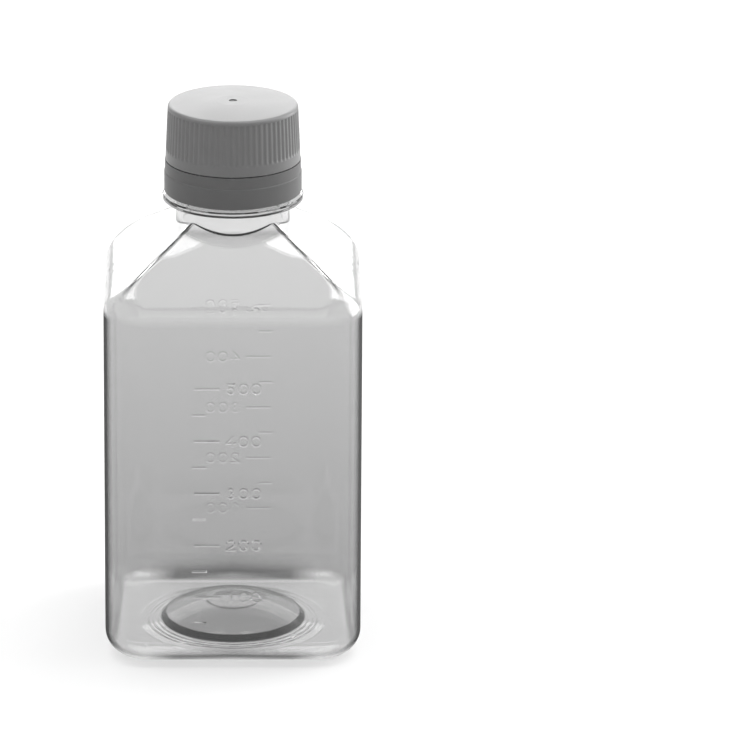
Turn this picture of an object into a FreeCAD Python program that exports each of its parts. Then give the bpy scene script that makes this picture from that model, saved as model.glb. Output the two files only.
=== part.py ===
import FreeCAD, Part
import math
import os

# Square 500 ml media bottle with a ribbed screw cap and a tamper band.
# Millimetres, +Z up. The origin is the centre of the base, on the surface
# that the bottle stands on. The graduated faces look along -Y and +Y.

Vector = FreeCAD.Vector

# --- body -------------------------------------------------------------------
body_width = 79.0          # across the flats
corner_radius = 14.0       # upright corners
heel_radius = 8.0          # bottom edge, all round
wall = 0.9                 # blown wall
panel_height = 114.6       # standing plane to the edge where the shoulder starts
shoulder_slope = 0.735     # rise for each millimetre inwards
shoulder_crown = 0.8       # the slope bows up by this much half way
face_bulge = 2.0           # and its level lines by this much at the top end
neck_bulge_share = 0.6     # part of that bulge where the neck starts
shoulder_blend = 7.0       # radius between a flat side and the shoulder
hip_radius = 1.3           # ridge between two shoulder faces
hip_fade = 6.0             # inward run over which the corner tightens to the ridge
blend_steps = 4            # sections round the blend
slope_steps = 4            # and up the slope

# --- base -------------------------------------------------------------------
foot_land = 2.5            # flat ring that stands on the bench, inside the heel
foot_slope_run = 7.0       # standing land to the rim of the push-up
recess_rise = 0.9          # the rim lies this far above the standing plane
rim_step_rise = 1.8        # steep wall just inside the rim
rim_step_run = 1.4
rim_step_round = 0.6       # radius at its foot and its top
dome_rise = 4.7            # crown of the push-up above the steep wall
base_wall = 1.6            # the middle of the base is thicker than the blown sides
base_ring_steps = (1.4, 3.0, 4.3)   # fine rings, outwards from the rim
gate_ring_radius = 8.1
ridge_width = 0.5
ridge_height = 0.25

# --- neck and finish ---------------------------------------------------------
neck_radius = 17.5         # outside, at the thread root
neck_wall = 1.9
collar_height = 7.33       # shoulder at the neck to the underside of the support ring
ring_overhang = 0.55       # support ring beyond the tamper band
ring_thickness = 1.8
ring_chamfer = 0.4
finish_height = 25.9       # top of the support ring to the lip
lip_round = 0.6
thread_pitch = 4.233
thread_depth = 1.1
thread_foot = 2.1          # axial width of a ridge at its root
thread_crest = 0.9         # and at its crest
thread_turns = 1.6
thread_start = 10.2        # lip down to the middle of the thread's lower end
bead_height = 1.25         # how far the tamper bead stands out of the neck
bead_length = 2.4

# --- closure -----------------------------------------------------------------
cap_wall = 0.95            # at the top, bore to the crest of a rib
cap_taper = 0.8            # the skirt's foot is this much wider in radius
cap_top_thickness = 2.2    # at the middle
cap_crown = 1.0            # the top face is this much higher at its middle
cap_land_radius = 5.0      # flat middle of the top
cap_length = 18.2          # top of the crown to the tear line
cap_edge_round = 1.2
rib_count = 72
rib_depth = 0.25
rib_crest_share = 0.2      # of the pitch
rib_root_share = 0.2
rib_start = 2.2            # below the top of the crown
rib_length = 13.1
rib_run_out = 0.8          # length over which the grooves die away into the collar
rib_least = 0.02           # depth at which they end
gate_dimple_radius = 1.25
gate_dimple_depth = 0.3
liner_thickness = 1.2
band_step = 0.4            # band beyond the foot of the cap, in radius
band_shoulder_step = 0.15  # and in its upper part
band_shoulder_length = 3.8
band_chamfer = 0.3
band_hook_length = 2.2
bridge_height = 0.3        # width of the tear line
bridge_count = 12
bridge_width = 0.8

# --- graduations -------------------------------------------------------------
mark_count = 5             # 100 ml steps
first_mark_height = 23.1
mark_pitch = 16.97
mark_height = 0.15         # how far a mark stands out of the wall
stroke = 0.9               # width of a mark at the wall
stroke_crest = 0.15        # and at its crest
mark_bury = 0.05           # how deep a mark is rooted in the wall
long_dash = (-11.6, -4.4)  # from and to, across the face
short_dash = (-12.2, -8.5)
first_digit_x = -0.7
digit_pitch = 3.9
digit_half_width = 1.3
digit_half_height = 1.5

# --- clearances --------------------------------------------------------------
thread_clearance = 0.35    # crest to root
flank_clearance = 0.35     # between the two threads' flanks, along the axis
liner_clearance = 0.35     # liner edge to the cap's bore
band_clearance = 0.6       # band's bore to the tamper bead
hook_clearance = 0.55      # band's hook to the neck
catch_clearance = 0.3      # band's hook to the underside of the tamper bead
band_ring_gap = 0.8        # band to the support ring
bury = 0.4                 # how deep a fused feature is rooted in its wall

# --- values that follow -------------------------------------------------------
half_width = body_width / 2
foot_radius = half_width - heel_radius - foot_land
recess_radius = foot_radius - foot_slope_run
dome_edge = recess_radius - rim_step_run
dome_edge_z = recess_rise + rim_step_rise
neck_bore = neck_radius - neck_wall
slope_top = (neck_bore - wall) * math.sqrt(0.5)     # its half-width, inside the neck
slope_run = half_width - slope_top
neck_run = half_width - neck_radius + neck_bulge_share * face_bulge
neck_share = neck_run / slope_run
neck_crown = 4 * shoulder_crown * neck_share * (1 - neck_share)
neck_root_z = panel_height + shoulder_slope * neck_run + neck_crown
ring_z = neck_root_z + collar_height
ring_top_z = ring_z + ring_thickness
lip_z = ring_top_z + finish_height
liner_top_z = lip_z + liner_thickness
cap_top_z = liner_top_z + cap_top_thickness
cap_foot_z = cap_top_z - cap_length
thread_radius = neck_radius + thread_depth
cap_bore = thread_radius + thread_clearance
cap_thread_radius = neck_radius + thread_clearance
cap_top_radius = cap_bore + cap_wall
cap_foot_radius = cap_top_radius + cap_taper
band_top_z = cap_foot_z - bridge_height
band_foot_z = ring_top_z + band_ring_gap
band_bore = neck_radius + bead_height + band_clearance
band_radius = cap_foot_radius + band_step
band_shoulder_radius = cap_foot_radius + band_shoulder_step
ring_radius = band_radius + ring_overhang
mark_foot = stroke_crest + (stroke - stroke_crest) * (1 + mark_bury / mark_height)
hook_top_z = band_foot_z + band_hook_length
bead_z = hook_top_z + catch_clearance


def rounded_square(half, radius, z, bulge=0.0):
    """A closed wire: a square of half-width `half` with corner arcs. With a bulge
    its sides are shallow arcs, and the corner arcs run on smoothly from them."""
    flat = half - radius
    half_turn = math.radians(45) - 2 * math.atan(bulge / flat)
    sagitta = radius * math.sqrt(0.5) * math.tan(half_turn / 2)
    corner = half - radius / 2 + sagitta * math.sqrt(0.5)
    edges = []
    for quarter in range(4):
        angle = math.radians(90 * quarter)
        ca, sa = math.cos(angle), math.sin(angle)

        def place(x, y):
            return Vector(x * ca - y * sa, x * sa + y * ca, z)

        side_from = place(half, -flat)
        side_to = place(half, flat)
        bend = place(corner, corner)
        arc_to = place(flat, half)
        if bulge > 0:
            edges.append(Part.Arc(side_from, place(half + bulge, 0), side_to).toShape())
        else:
            edges.append(Part.LineSegment(side_from, side_to).toShape())
        edges.append(Part.Arc(side_to, bend, arc_to).toShape())
    return Part.Wire(edges)


def slope_height(run):
    """Rise of the shoulder above its foot, `run` inwards from it."""
    share = run / slope_run
    return shoulder_slope * run + 4 * shoulder_crown * share * (1 - share)


def shoulder_levels(inset):
    """Half-width, corner radius, height and bulge of the shoulder's sections, from
    the top of the flat sides up to inside the neck, for a skin `inset` inwards."""
    foot_slope = shoulder_slope + 4 * shoulder_crown / slope_run
    turn = math.radians(90) - math.atan(foot_slope)
    blend = shoulder_blend - inset
    centre_t = half_width - shoulder_blend
    centre_z = panel_height - shoulder_blend * math.tan(turn / 2)
    levels = []
    for step in range(blend_steps + 1):
        angle = turn * step / blend_steps
        levels.append((centre_t + blend * math.cos(angle), centre_z + blend * math.sin(angle)))
    foot_t, foot_z = levels[-1]
    for step in range(1, slope_steps + 1):
        half = foot_t + (slope_top - foot_t) * step / slope_steps
        levels.append((half, foot_z + slope_height(foot_t - half)))
    sections = []
    for half, z in levels:
        fade = min(1.0, (half_width - inset - half) / hip_fade)
        run = fade * fade * (3 - 2 * fade)
        up = max(0.0, (foot_t - half) / (foot_t - slope_top))
        radius = corner_radius + (hip_radius - corner_radius) * run - inset * (1 - run)
        sections.append((half, radius, z, face_bulge * up ** 2))
    return sections


def body_envelope(inset):
    """The closed body and shoulder, `inset` inside the outer skin."""
    sections = shoulder_levels(inset)
    base = rounded_square(half_width - inset, corner_radius - inset, inset)
    height = sections[0][2] - inset
    prism = Part.Face(base).extrude(Vector(0, 0, height))
    heel_edges = [e for e in prism.Edges if e.BoundBox.ZMax < inset + 0.01]
    prism = prism.makeFillet(heel_radius - inset, heel_edges)
    wires = [rounded_square(half, radius, z, bulge) for half, radius, z, bulge in sections]
    roof = Part.makeLoft(wires, True, False)
    return prism.fuse(roof)


def revolved(points):
    """A solid turned about Z from (radius, z) points."""
    vectors = [Vector(r, 0, z) for r, z in points]
    wire = Part.makePolygon(vectors + vectors[:1])
    return Part.Face(wire).revolve(Vector(0, 0, 0), Vector(0, 0, 1), 360)


def tube(outer, inner, z_from, z_to):
    """A plain ring between two heights."""
    ring = Part.makeCylinder(outer, z_to - z_from, Vector(0, 0, z_from))
    return ring.cut(Part.makeCylinder(inner, z_to - z_from, Vector(0, 0, z_from)))


def dome_height(radius, edge=(dome_edge, dome_edge_z), rise=dome_rise):
    """Height at `radius` of a dome that springs from `edge`."""
    curve = (edge[0] ** 2 + rise ** 2) / (2 * rise)
    return edge[1] + rise - curve + math.sqrt(curve ** 2 - radius ** 2)


def push_up(skin, middle_skin):
    """The space under the base: a cone up to the rim, a steep wall inside it, then a
    shallow dome. It is raised by `skin`, and by `middle_skin` at the middle."""
    outwards = skin / 2        # keeps the steep wall as thick as the rest
    rise = dome_rise + middle_skin - skin
    edge_radius, edge_z = dome_edge + outwards, dome_edge_z + skin
    half_way = dome_height(edge_radius / 2, (edge_radius, edge_z), rise)
    rim = Vector(recess_radius + outwards, 0, recess_rise + skin)
    edge = Vector(edge_radius, 0, edge_z)
    crown = Vector(0, 0, edge_z + rise)
    dome = Part.Arc(edge, Vector(edge_radius / 2, 0, half_way), crown)
    slope = recess_rise / foot_slope_run
    foot = foot_radius + foot_land / 2       # there the cone lies below the land
    foot_z = rim.z - slope * (foot - rim.x)
    corners = [crown, Vector(0, 0, -wall), Vector(foot, 0, -wall), Vector(foot, 0, foot_z),
               rim, edge]
    edges = [Part.LineSegment(a, b).toShape() for a, b in zip(corners, corners[1:])]
    wire = Part.Wire(edges + [dome.toShape()])
    solid = Part.Face(wire).revolve(Vector(0, 0, 0), Vector(0, 0, 1), 360)
    rings = [e for e in solid.Edges if e.Closed and is_ring(e, (rim, edge))]
    return solid.makeFillet(rim_step_round, rings)


def is_ring(edge, places):
    """True for a circular edge through one of the places in the XZ plane."""
    at = edge.Vertexes[0].Point
    return any(at.distanceToPoint(place) < 0.01 for place in places)


def base_ridges():
    """Fine moulded rings under the base, and the ring round the gate."""
    slope = recess_rise / foot_slope_run
    places = [(gate_ring_radius, dome_height(gate_ring_radius))]
    for step in base_ring_steps:
        places.append((recess_radius + step, recess_rise - step * slope))
    ridges = []
    for radius, z in places:
        ridges.append(tube(radius + ridge_width / 2, radius - ridge_width / 2,
                           z - ridge_height, z + bury))
    return ridges


def helical_ridge(root_radius, crest_radius, root, z_start, turns):
    """A single-start ridge on a cylinder: trapezoid section, rooted at `root`.
    Its four faces run between helices at the corners of the section."""
    half_crest = thread_crest / 2
    flare = (thread_foot / 2 - half_crest) / abs(root_radius - crest_radius)
    half_root = half_crest + flare * abs(root - crest_radius)
    corners = [(root, -half_root), (crest_radius, -half_crest),
               (crest_radius, half_crest), (root, half_root)]
    rise = thread_pitch * turns
    helices = []
    for radius, z in corners:
        helix = Part.makeHelix(thread_pitch, rise, radius)
        helix.translate(Vector(0, 0, z_start + z))
        helices.append(Part.Wire(helix.Edges))
    faces = []
    for one, other in zip(helices, helices[1:] + helices[:1]):
        faces += Part.makeRuledSurface(one, other).Faces
    points = [Vector(radius, 0, z_start + z) for radius, z in corners]
    first = Part.Face(Part.makePolygon(points + points[:1]))
    last = first.copy()
    last.translate(Vector(0, 0, rise))
    last.rotate(Vector(0, 0, 0), Vector(0, 0, 1), 360 * turns)
    ridge = Part.Solid(Part.Shell(faces + [first, last]))
    if ridge.Volume < 0:
        ridge.reverse()
    return ridge


def bar(x0, z0, x1, z1):
    """A straight stroke of a mark, on the face that looks along -Y. Its sides slope."""
    dx, dz = x1 - x0, z1 - z0
    length = math.hypot(dx, dz)
    foot, crest = mark_foot / 2, stroke_crest / 2
    block = Part.makeWedge(-crest, -mark_height, -crest, -foot, -foot,
                           length + crest, mark_bury, crest, foot, length + foot)
    block.translate(Vector(0, -half_width, 0))
    block.rotate(Vector(0, 0, 0), Vector(0, -1, 0), math.degrees(math.atan2(dz, dx)))
    block.translate(Vector(x0, 0, z0))
    return block


def bow(x, z, radius, start, sweep):
    """A curved stroke about (x, z), from `start` degrees through `sweep`."""
    direction = Vector(0, -1, 0)
    foot, crest = mark_foot / 2, stroke_crest / 2
    section = [Vector(radius - foot, -half_width + mark_bury, 0),
               Vector(radius + foot, -half_width + mark_bury, 0),
               Vector(radius + crest, -half_width - mark_height, 0),
               Vector(radius - crest, -half_width - mark_height, 0)]
    arc = Part.Face(Part.makePolygon(section + section[:1]))
    arc = arc.revolve(Vector(0, 0, 0), direction, sweep)
    arc.rotate(Vector(0, 0, 0), direction, start)
    arc.translate(Vector(x, 0, z))
    return arc


def numeral(digit, x, z):
    """The strokes of one digit, centred on (x, z)."""
    w, h = digit_half_width, digit_half_height
    if digit == 0:
        lift = h - w
        return [bow(x, z + lift, w, 0, 180), bow(x, z - lift, w, 180, 180),
                bar(x - w, z - lift, x - w, z + lift), bar(x + w, z - lift, x + w, z + lift)]
    if digit == 1:
        return [bar(x, z - h, x, z + h), bar(x, z + h, x - 0.6 * w, z + 0.6 * h)]
    if digit == 2:
        r = 0.8 * w
        return [bow(x, z + h - r, r, -30, 200), bar(x - w, z - h, x + w, z - h),
                bar(x - w, z - h, x + r * math.cos(0.52), z + h - r - r * math.sin(0.52))]
    if digit == 3:
        r = h / 2
        return [bow(x, z + r, r, -90, 240), bow(x, z - r, r, -150, 240)]
    if digit == 4:
        return [bar(x + 0.4 * w, z - h, x + 0.4 * w, z + h),
                bar(x + 0.4 * w, z + h, x - w, z - 0.4 * h),
                bar(x - w, z - 0.4 * h, x + w, z - 0.4 * h)]
    r = 0.62 * h
    return [bar(x - 0.75 * w, z + h, x + 0.8 * w, z + h),
            bar(x - 0.75 * w, z + h, x - 0.75 * w, z + 0.15 * h),
            bow(x, z - h + r, r, -150, 285)]


def graduations():
    """The marks of one face: long dashes with numbers, short ones half way."""
    strokes = []
    for index in range(mark_count):
        z = first_mark_height + index * mark_pitch
        strokes.append(bar(long_dash[0], z, long_dash[1], z))
        strokes.append(bar(short_dash[0], z - mark_pitch / 2, short_dash[1], z - mark_pitch / 2))
        for place, digit in enumerate((index + 1, 0, 0)):
            strokes += numeral(digit, first_digit_x + place * digit_pitch, z)
    return strokes


def mirrored_to_back(shapes):
    """The same shapes on the opposite face, turned half way about Z."""
    turned = []
    for shape in shapes:
        copy = shape.copy()
        copy.rotate(Vector(0, 0, 0), Vector(0, 0, 1), 180)
        turned.append(copy)
    return turned


def neck_outside():
    """Collar, support ring, tamper bead and plain finish, as one turned solid."""
    foot_z = neck_root_z - neck_wall
    points = [(0, foot_z), (neck_radius, foot_z), (neck_radius, ring_z),
              (ring_radius - ring_chamfer, ring_z), (ring_radius, ring_z + ring_chamfer),
              (ring_radius, ring_top_z - ring_chamfer), (ring_radius - ring_chamfer, ring_top_z),
              (neck_radius, ring_top_z), (neck_radius, bead_z),
              (neck_radius + bead_height, bead_z),
              (neck_radius + bead_height, bead_z + bead_length / 3),
              (neck_radius, bead_z + bead_length),
              (neck_radius, lip_z - lip_round), (neck_radius - lip_round, lip_z), (0, lip_z)]
    return revolved(points)


def make_bottle():
    """Body, shoulder, neck, thread, graduations and push-up base: one piece."""
    outside = body_envelope(0).fuse(neck_outside())
    thread = helical_ridge(neck_radius, thread_radius, neck_radius - bury,
                           lip_z - thread_start, thread_turns)
    outside = outside.fuse(thread)
    marks = graduations()
    outside = outside.multiFuse(marks + mirrored_to_back(marks))
    outside = outside.cut(push_up(0, 0)).multiFuse(base_ridges())
    inside = body_envelope(wall).cut(push_up(wall, base_wall))
    mouth = Part.makeCylinder(neck_bore, lip_z, Vector(0, 0, neck_root_z - wall))
    return outside.cut(inside.fuse(mouth)).removeSplitter()


def toothed_wire(z, depth):
    """Outline of the ribbed skirt: flat-topped ribs with sloping sides."""
    crest = cap_radius_at(z)
    root = crest - depth
    pitch = 2 * math.pi / rib_count
    points = []
    half_crest = rib_crest_share / 2
    half_root = rib_root_share / 2
    corners = ((crest, -half_crest), (crest, half_crest),
               (root, 0.5 - half_root), (root, 0.5 + half_root))
    for rib in range(rib_count):
        for radius, share in corners:
            angle = (rib + share) * pitch
            points.append(Vector(radius * math.cos(angle), radius * math.sin(angle), z))
    return Part.makePolygon(points + points[:1])


def cap_radius_at(z):
    """Outer radius of the tapered cap at a height."""
    share = (cap_top_z - z) / cap_length
    return cap_top_radius + (cap_foot_radius - cap_top_radius) * share


def make_cap():
    """Screw cap: ribbed skirt, plain collar, low crown with a flat middle, thread."""
    cone = Part.makeCone(cap_foot_radius, cap_top_radius, cap_length, Vector(0, 0, cap_foot_z))
    crown_radius = (cap_top_radius ** 2 - cap_land_radius ** 2) / (2 * cap_crown)
    land_drop = cap_land_radius ** 2 / (2 * crown_radius)
    crown = Part.makeSphere(crown_radius, Vector(0, 0, cap_top_z - crown_radius + land_drop))
    blank = cone.common(crown)
    edge_z = cap_top_z - 2 * cap_crown
    top_edges = [e for e in blank.Edges if e.Closed and e.BoundBox.ZMin > edge_z]
    body = blank.makeFillet(cap_edge_round, top_edges)
    rib_top_z = cap_top_z - rib_start
    rib_foot_z = rib_top_z - rib_length
    ribs = Part.makeLoft([toothed_wire(rib_foot_z, rib_least),
                          toothed_wire(rib_foot_z + rib_run_out, rib_depth),
                          toothed_wire(rib_top_z, rib_depth)], True, True)
    groove_room = Part.makeCylinder(band_radius, rib_length, Vector(0, 0, rib_foot_z))
    body = body.cut(groove_room.cut(ribs))
    bore_length = liner_top_z - cap_foot_z
    body = body.cut(Part.makeCylinder(cap_bore, bore_length, Vector(0, 0, cap_foot_z)))
    dimple = Part.makeCylinder(gate_dimple_radius, gate_dimple_depth,
                               Vector(0, 0, cap_top_z - gate_dimple_depth))
    body = body.cut(dimple)
    start = lip_z - thread_start - (thread_foot + thread_crest) / 2 - flank_clearance
    thread = helical_ridge(cap_bore, cap_thread_radius, cap_bore + bury, start, thread_turns)
    return body.fuse(thread).removeSplitter()


def make_tamper_band():
    """Ring left on the neck, with its catch and the stubs of the bridges."""
    shoulder_z = band_top_z - band_shoulder_length
    hook = neck_radius + hook_clearance
    points = [(hook + band_chamfer, band_foot_z), (band_radius - band_chamfer, band_foot_z),
              (band_radius, band_foot_z + band_chamfer), (band_radius, shoulder_z),
              (band_shoulder_radius, shoulder_z + band_chamfer),
              (band_shoulder_radius, band_top_z), (band_bore, band_top_z),
              (band_bore, hook_top_z), (hook, hook_top_z)]
    ring = revolved(points)
    stub_length = band_shoulder_radius - band_bore - 2 * band_chamfer
    corner = Vector(band_bore + band_chamfer, -bridge_width / 2, band_top_z - bury)
    bridges = []
    for index in range(bridge_count):
        stub = Part.makeBox(stub_length, bridge_width, bridge_height + bury, corner)
        stub.rotate(Vector(0, 0, 0), Vector(0, 0, 1), 360 * index / bridge_count)
        bridges.append(stub)
    return ring.multiFuse(bridges).removeSplitter()


def make_liner():
    """Foamed disc between the cap and the lip."""
    return Part.makeCylinder(cap_bore - liner_clearance, liner_thickness, Vector(0, 0, lip_z))


os.makedirs("parts", exist_ok=True)
nodes = {
    "bottle": make_bottle(),
    "cap": make_cap(),
    "tamper_band": make_tamper_band(),
    "sealing_liner": make_liner(),
}
for name, shape in nodes.items():
    if len(shape.Solids) != 1 or not shape.isValid():
        raise ValueError(name + " is not one sound solid")
    shape.Solids[0].exportStep("parts/" + name + ".step")
    print(name, "volume", round(shape.Volume / 1000, 2), "cm3, top", round(shape.BoundBox.ZMax, 2))
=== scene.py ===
import math
from types import SimpleNamespace

import bpy
from mathutils import Euler, Matrix, Vector

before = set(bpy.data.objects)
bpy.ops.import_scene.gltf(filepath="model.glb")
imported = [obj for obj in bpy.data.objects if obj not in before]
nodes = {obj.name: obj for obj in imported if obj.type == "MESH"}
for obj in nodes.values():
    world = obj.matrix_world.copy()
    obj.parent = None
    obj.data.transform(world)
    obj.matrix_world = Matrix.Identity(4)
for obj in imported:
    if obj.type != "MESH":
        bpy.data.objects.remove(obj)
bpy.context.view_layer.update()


# ------------------------------------------------------------------ shader maths

class Socket:
    """One output of a node, with arithmetic that adds Math nodes."""

    def __init__(self, finish, link):
        self.finish = finish
        self.link = link

    def maths(self, operation, *others):
        values = dict(enumerate((self,) + others))
        return self.finish.node("ShaderNodeMath", {"operation": operation}, values)

    def __add__(self, other):
        return self.maths("ADD", other)

    def __mul__(self, other):
        return self.maths("MULTIPLY", other)

    def __sub__(self, other):
        return self.maths("SUBTRACT", other)

    def __truediv__(self, other):
        return self.maths("DIVIDE", other)

    def __pow__(self, other):
        return self.maths("POWER", other)

    def __rsub__(self, other):
        return self.finish.node("ShaderNodeMath", {"operation": "SUBTRACT"}, {0: other, 1: self})

    __radd__ = __add__
    __rmul__ = __mul__

    def clamped(self, low=0.0, high=1.0):
        return self.maths("MAXIMUM", low).maths("MINIMUM", high)

    def ramp(self, start, end):
        """0 below start, 1 above end, straight between."""
        return ((self - start) / (end - start)).clamped()


class Finish:
    """A node tree built by calls: a material's, or the world's."""

    def __init__(self, owner):
        owner.use_nodes = True
        self.owner = owner
        self.tree = owner.node_tree
        self.tree.nodes.clear()

    def node(self, kind, settings=None, sockets=None, out=0):
        made = self.tree.nodes.new(kind)
        for name, value in (settings or {}).items():
            setattr(made, name, value)
        for name, value in (sockets or {}).items():
            if isinstance(value, Socket):
                self.tree.links.new(value.link, made.inputs[name])
            else:
                made.inputs[name].default_value = value
        if out is None:
            return None
        return Socket(self, made.outputs[out])

    def place(self):
        """Object coordinates, in metres."""
        return self.node("ShaderNodeTexCoord", out="Object")

    def split(self, vector, axis):
        return self.node("ShaderNodeSeparateXYZ", {}, {"Vector": vector}, out=axis)

    def vector(self, operation, *values):
        scalar = operation in ("LENGTH", "DOT_PRODUCT")
        return self.node("ShaderNodeVectorMath", {"operation": operation},
                         dict(enumerate(values)), out="Value" if scalar else "Vector")

    def noise(self, scale, detail=2.0, vector=None):
        return self.node("ShaderNodeTexNoise", {}, {
            "Vector": vector or self.place(), "Scale": scale, "Detail": detail}, out="Fac")

    def mix(self, share, one, other):
        return self.node("ShaderNodeMix", {"data_type": "RGBA"}, {
            "Factor": share, "A": one, "B": other}, out="Result")

    def ray(self, kind):
        """1 for light paths of this kind, such as "Is Camera Ray"."""
        return self.node("ShaderNodeLightPath", out=kind)

    def bump(self, height, distance):
        return self.node("ShaderNodeBump", {}, {
            "Height": height, "Distance": distance, "Strength": 1.0})

    def output(self, surface, **others):
        self.node("ShaderNodeOutputMaterial", {}, {"Surface": surface, **others}, out=None)
        return self.owner


def grey(level):
    return (level, level, level, 1.0)


def new_finish(name):
    return Finish(bpy.data.materials.new(name))


# Heights above the floor, and reaches from the axis, in metres. Each pair is where a part of
# the bottle's painted shade starts and where it is whole.
side_bend = (0.1105, 0.113)         # the flat sides bend into the shoulder
bend_end = (0.1165, 0.1185)
ridge_start = (0.1185, 0.1215)      # the ridges between the shoulder's faces
neck_root = (0.1302, 0.1328)
shoulder_end = (0.133, 0.134)
marks_start = (0.018, 0.02)         # the raised marks and numbers
marks_end = (0.102, 0.104)
heel_start = (0.0002, 0.0012)       # the heel's painted dark line, a painted contact shadow, front and back
heel_end = (0.0018, 0.009)
heel_reach = (0.0325, 0.034)
heel_half_length = (0.018, 0.027)
heel_arch, arch_half_length = 0.0012, 0.018
base_top = (0.010, 0.011)
base_inner = (0.0222, 0.023)        # the base's flat part lies outside the push-up
steep_inner = (0.0202, 0.0206)      # the push-up's steep wall
steep_outer = (0.0228, 0.0232)
steep_top = (0.005, 0.006)
side_height = 0.11


def bottle_point(pet):
    """Where a point of the bottle's skin lies, and how the skin leans there. "outwards" is 1
    where light meets the skin from outside. It serves the painted dark shade at the glass edges,
    the shoulder's ridges and the steep wall alone, so that the far wall seen through the near one
    gets no second painted dark line."""
    at = SimpleNamespace()
    place = pet.place()
    normal = pet.node("ShaderNodeTexCoord", out="Normal")
    at.height = pet.split(place, "Z")
    at.reach_x = pet.split(place, "X").maths("ABSOLUTE")
    at.reach_y = pet.split(place, "Y").maths("ABSOLUTE")
    level = pet.vector("MULTIPLY", place, (1, 1, 0))
    at.radius = pet.vector("LENGTH", level)
    at.outwards = pet.vector("DOT_PRODUCT", normal, level).ramp(0.0, 0.002)
    inner_side = pet.node("ShaderNodeNewGeometry", out="Backfacing")
    at.tilt = pet.split(normal, "Z") * (1.0 - inner_side * 2.0)
    at.lean = at.tilt.maths("ABSOLUTE")
    turn_x = pet.split(normal, "X").maths("ABSOLUTE")
    turn_y = pet.split(normal, "Y").maths("ABSOLUTE")
    at.diagonal = turn_x.maths("MINIMUM", turn_y) / turn_x.maths("MAXIMUM", turn_y)
    at.side = 1.0 - at.height.ramp(*side_bend)
    at.slope = at.height.ramp(*side_bend) * (1.0 - at.height.ramp(*shoulder_end))
    return at


def painted_wall_shade(at):
    """Painted shade on the wall, as grey in its colour. On the flat sides it stands in for the
    darker background seen through them, deepens towards their foot as painted shadow of the floor
    behind, and leaves out the base's flat part. It also covers the shoulder's faces, with the hips
    left lighter, and the heel's front and back as a painted contact shadow. At the neck's root it
    is painted shade under the ring. Each raised mark gets painted shade on its upper flank and a
    painted highlight on its lower flank."""
    side_painted_shade, foot_painted_shade, face_painted_shade = 0.27, 0.15, 0.14
    heel_painted_shadow, root_painted_shade, mark_painted_shade = 0.4, 0.25, 0.22
    bend = 1.0 - at.height.ramp(*bend_end)
    # Painted shade on the shoulder's faces; the hips stay lighter.
    face = at.slope * bend.maths("MAXIMUM", 1.0 - at.diagonal.ramp(0.1, 0.3))
    heel = at.reach_y.ramp(*heel_reach) * (1.0 - at.reach_x.ramp(*heel_half_length))
    base = (1.0 - at.height.ramp(*base_top)) * at.lean.ramp(0.6, 0.85)
    base = base * at.radius.ramp(*base_inner) * (1.0 - heel)
    # Painted shade on the flat sides: grey for the darker background seen through them, deeper
    # towards the foot, none on the base's flat part.
    side = side_painted_shade + (1.0 - at.height.ramp(0.0, side_height)) * foot_painted_shade
    side = at.side * side * (1.0 - base)
    # Painted contact shadow: a dark arched line on the heel's front and back.
    across = at.reach_x.maths("MINIMUM", at.reach_y)
    arched = at.height - (1.0 - across.ramp(0.0, arch_half_length)) * heel_arch
    foot = arched.ramp(*heel_start) * (1.0 - arched.ramp(*heel_end)) ** 2 * heel
    # Painted shade at the neck's root, under the ring.
    root = at.slope * at.height.ramp(*neck_root)
    # Painted shade on each raised mark's upper flank, painted highlight on its lower flank.
    flank = at.tilt.ramp(0.08, 0.3) - (0.0 - at.tilt).ramp(0.08, 0.3)
    marks = at.height.ramp(*marks_start) * (1.0 - at.height.ramp(*marks_end)) * flank
    shade_total = side + face * face_painted_shade + foot * heel_painted_shadow + root * root_painted_shade + marks * mark_painted_shade
    return shade_total.clamped()


def steep_shade_mask(at, facing):
    """Where painted shade lies on the push-up's steep wall: a dark crescent standing in for the
    shaded floor under the base, seen through it, thinning out towards its left and right ends.
    """
    ring = at.radius.ramp(*steep_inner) * (1.0 - at.radius.ramp(*steep_outer))
    ring = ring * (1.0 - at.height.ramp(*steep_top))
    flank = at.lean.ramp(0.4, 0.5) * (1.0 - at.lean.ramp(0.8, 0.9))
    return ring * flank * at.outwards * (1.0 - facing.ramp(0.15, 0.6))


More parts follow.
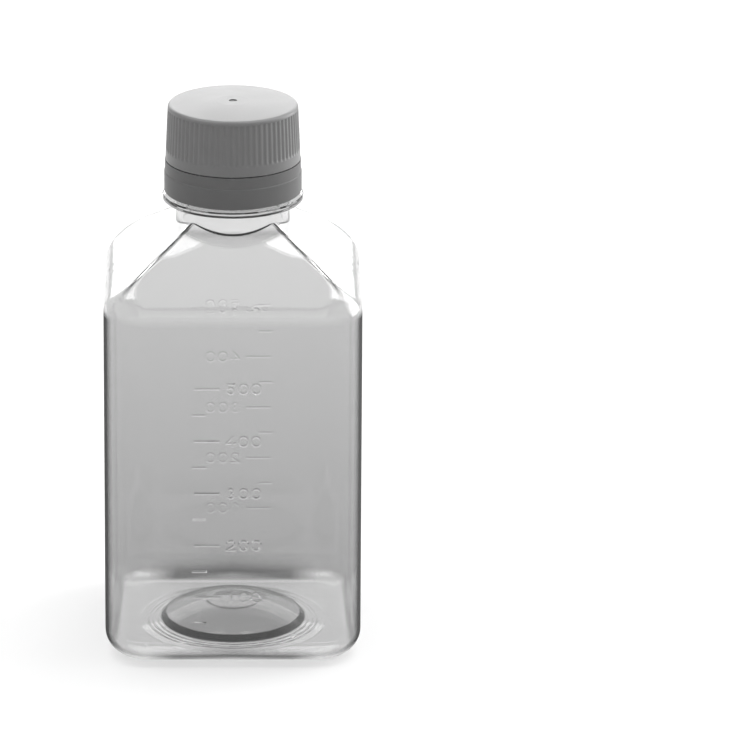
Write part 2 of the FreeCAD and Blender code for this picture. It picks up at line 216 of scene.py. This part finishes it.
def clear_pet():
    """Blown PET, its colour greyed by painted shade. Thick clear plastic looks dark where it is
    seen along its skin or reflects what is behind it, so painted shade, a dark matt diffuse, is
    mixed in at the upright edges, along the shoulder's ridges and on the push-up's steep wall."""
    edge_share, ridge_share, steep_share = 0.93, 0.75, 0.92
    pet = new_finish("clear_pet")
    at = bottle_point(pet)
    # The wall's colour is greyed by the painted shade above.
    painted_shade_colour = pet.mix(painted_wall_shade(at), grey(1.0), grey(0.0))
    ripple = pet.bump(pet.noise(25.0, 0.0), 0.00001)
    clear = pet.node("ShaderNodeBsdfPrincipled", {}, {
        "Base Color": painted_shade_colour, "Roughness": 0.015, "IOR": 1.57, "Transmission Weight": 1.0,
        "Normal": ripple})
    body = pet.node("ShaderNodeVolumeAbsorption", {}, {"Color": grey(0.0), "Density": 60.0})

    # Painted shade: a dark matt diffuse mixed in at the upright edges and along the shoulder's
    # ridges.
    facing = pet.node("ShaderNodeLayerWeight", {}, {"Blend": 0.5}, out="Facing")
    upright = 1.0 - at.lean.ramp(0.3, 0.7)
    edge = facing.ramp(0.46, 0.68) * upright * at.outwards * at.side * edge_share
    ridge = at.diagonal.ramp(0.45, 0.75) * at.height.ramp(*ridge_start)
    ridge = ridge * at.slope * at.outwards * ridge_share
    # Painted shade: a near-black matt diffuse mixed in on the push-up's steep wall.
    steep = steep_shade_mask(at, facing) * steep_share
    edge_painted_shade = pet.node("ShaderNodeBsdfDiffuse", {}, {"Color": grey(0.055)})
    steep_painted_shade = pet.node("ShaderNodeBsdfDiffuse", {}, {"Color": grey(0.02)})
    rim = pet.node("ShaderNodeMixShader", {}, {
        "Fac": edge.maths("MAXIMUM", ridge), 1: clear, 2: edge_painted_shade})
    surface = pet.node("ShaderNodeMixShader", {}, {"Fac": steep, 1: rim, 2: steep_painted_shade})
    return pet.output(surface, Volume=body)


def closure_plastic(name, level, roughness, shine=0.5):
    """Moulded plastic with a faint cloud in its colour and gloss, and a fine grain."""
    cloud_scale, grain_scale, grain_height = 160.0, 2600.0, 0.00002
    colour_spread, gloss_spread = 0.07, 0.12
    made = new_finish(name)
    place = made.place()
    cloud = made.noise(cloud_scale, 3.0, place)
    grain = made.noise(grain_scale, 2.0, place)
    darker, lighter = grey(level * (1 - colour_spread)), grey(level * (1 + colour_spread))
    surface = made.node("ShaderNodeBsdfPrincipled", {}, {
        "Base Color": made.mix(cloud, darker, lighter),
        "Roughness": roughness + (cloud - 0.5) * gloss_spread,
        "IOR": 1.5, "Specular IOR Level": shine,
        "Normal": made.bump(grain, grain_height)})
    return made.output(surface)


def give(node, material):
    for slot in nodes[node].material_slots:
        slot.material = material


give("bottle", clear_pet())
give("cap", closure_plastic("grey_cap", 0.15, 0.36))
give("tamper_band", closure_plastic("grey_band", 0.125, 0.42, 0.2))
give("sealing_liner", closure_plastic("liner_foam", 0.8, 0.8))


# ------------------------------------------------------------------ studio

def make_floor():
    """Pale and matt. In straight view, in gloss and through the bottle it is partly plain white."""
    half, gap = 6.0, 0.0003
    seen_share, through_share = 0.6, 0.85
    mesh = bpy.data.meshes.new("studio_floor")
    corners = [(-half, -half, -gap), (half, -half, -gap), (half, half, -gap), (-half, half, -gap)]
    mesh.from_pydata(corners, [], [(0, 1, 2, 3)])
    floor = bpy.data.objects.new("studio_floor", mesh)
    bpy.context.collection.objects.link(floor)
    paint = new_finish("white_floor")
    matt = paint.node("ShaderNodeBsdfDiffuse", {}, {"Color": grey(0.93)})
    plain = paint.node("ShaderNodeEmission", {}, {"Color": grey(1.0), "Strength": 1.0})
    seen = paint.ray("Is Camera Ray") + paint.ray("Is Glossy Ray")
    through = paint.ray("Is Transmission Ray")
    share = (seen * seen_share).maths("MAXIMUM", through * through_share)
    shown = paint.node("ShaderNodeMixShader", {}, {"Fac": share.clamped(), 1: matt, 2: plain})
    mesh.materials.append(paint.output(shown))


def make_world(fill, zenith):
    """White towards the horizon, for what is seen straight, in gloss and through the bottle."""
    world = bpy.data.worlds.new("studio")
    bpy.context.scene.world = world
    sky = Finish(world)
    seen = sky.ray("Is Camera Ray") + sky.ray("Is Glossy Ray") + sky.ray("Is Transmission Ray")
    seen = seen.clamped()
    up = sky.split(sky.node("ShaderNodeTexCoord", out="Generated"), "Z")
    above = up.ramp(0.25, 0.75)
    white = 1.0 - above * (1.0 - zenith)
    strength = seen * white + (1.0 - seen) * fill
    light = sky.node("ShaderNodeBackground", {}, {"Color": grey(1.0), "Strength": strength})
    sky.node("ShaderNodeOutputWorld", {}, {"Surface": light}, out=None)


def softbox(name, azimuth, elevation, away, wide, high, radiance):
    """A soft rectangular lamp that looks at the bottle. Azimuth 0 is behind it, 90 on its right."""
    a, e = math.radians(azimuth), math.radians(elevation)
    aim = Vector((0, 0, 0.09))
    way = Vector((math.sin(a) * math.cos(e), math.cos(a) * math.cos(e), math.sin(e)))
    data = bpy.data.lights.new(name, "AREA")
    data.shape = "RECTANGLE"
    data.size, data.size_y = wide, high
    data.energy = radiance * math.pi * wide * high
    lamp = bpy.data.objects.new(name, data)
    bpy.context.collection.objects.link(lamp)
    lamp.location = aim + way * away
    lamp.rotation_euler = (-way).to_track_quat("-Z", "Y").to_euler()
    lamp.visible_camera = False
    return lamp


def make_camera():
    rise, reach, aim_height = math.radians(19.42), 2.1, 0.08164
    aside = math.radians(1.2004)
    data = bpy.data.cameras.new("camera")
    data.sensor_width = 36.0
    data.lens = 325.3
    data.clip_end = 20
    camera = bpy.data.objects.new("camera", data)
    bpy.context.collection.objects.link(camera)
    camera.location = (0, -reach * math.cos(rise), aim_height + reach * math.sin(rise))
    level = Euler((math.pi / 2 - rise, 0, 0)).to_matrix()
    camera.rotation_euler = (level @ Matrix.Rotation(-aside, 3, "Y")).to_euler()
    bpy.context.scene.camera = camera


make_floor()
make_world(fill=0.35, zenith=0.3)
# azimuth, elevation, distance, width, height, radiance
softbox("left_softbox", -78, 66, 1.1, 0.6, 0.8, 3.6)
softbox("right_softbox", 78, 66, 1.1, 0.6, 0.8, 4.4)
softbox("back_softbox", 0, 30, 1.1, 1.2, 0.4, 3.1)
softbox("low_back_softbox", 0, 12, 1.1, 1.2, 0.4, 1.3)
softbox("top_softbox", 180, 84, 1.2, 0.5, 0.5, 1.0)
softbox("rim_softbox", 66, 16, 1.0, 0.7, 0.9, 3.4)
softbox("front_softbox", 180, 40, 1.6, 1.6, 1.0, 0.6)
make_camera()

scene = bpy.context.scene
scene.view_settings.view_transform = "Standard"
scene.cycles.max_bounces = 24
scene.cycles.transmission_bounces = 22
scene.cycles.glossy_bounces = 12
scene.cycles.transparent_max_bounces = 24
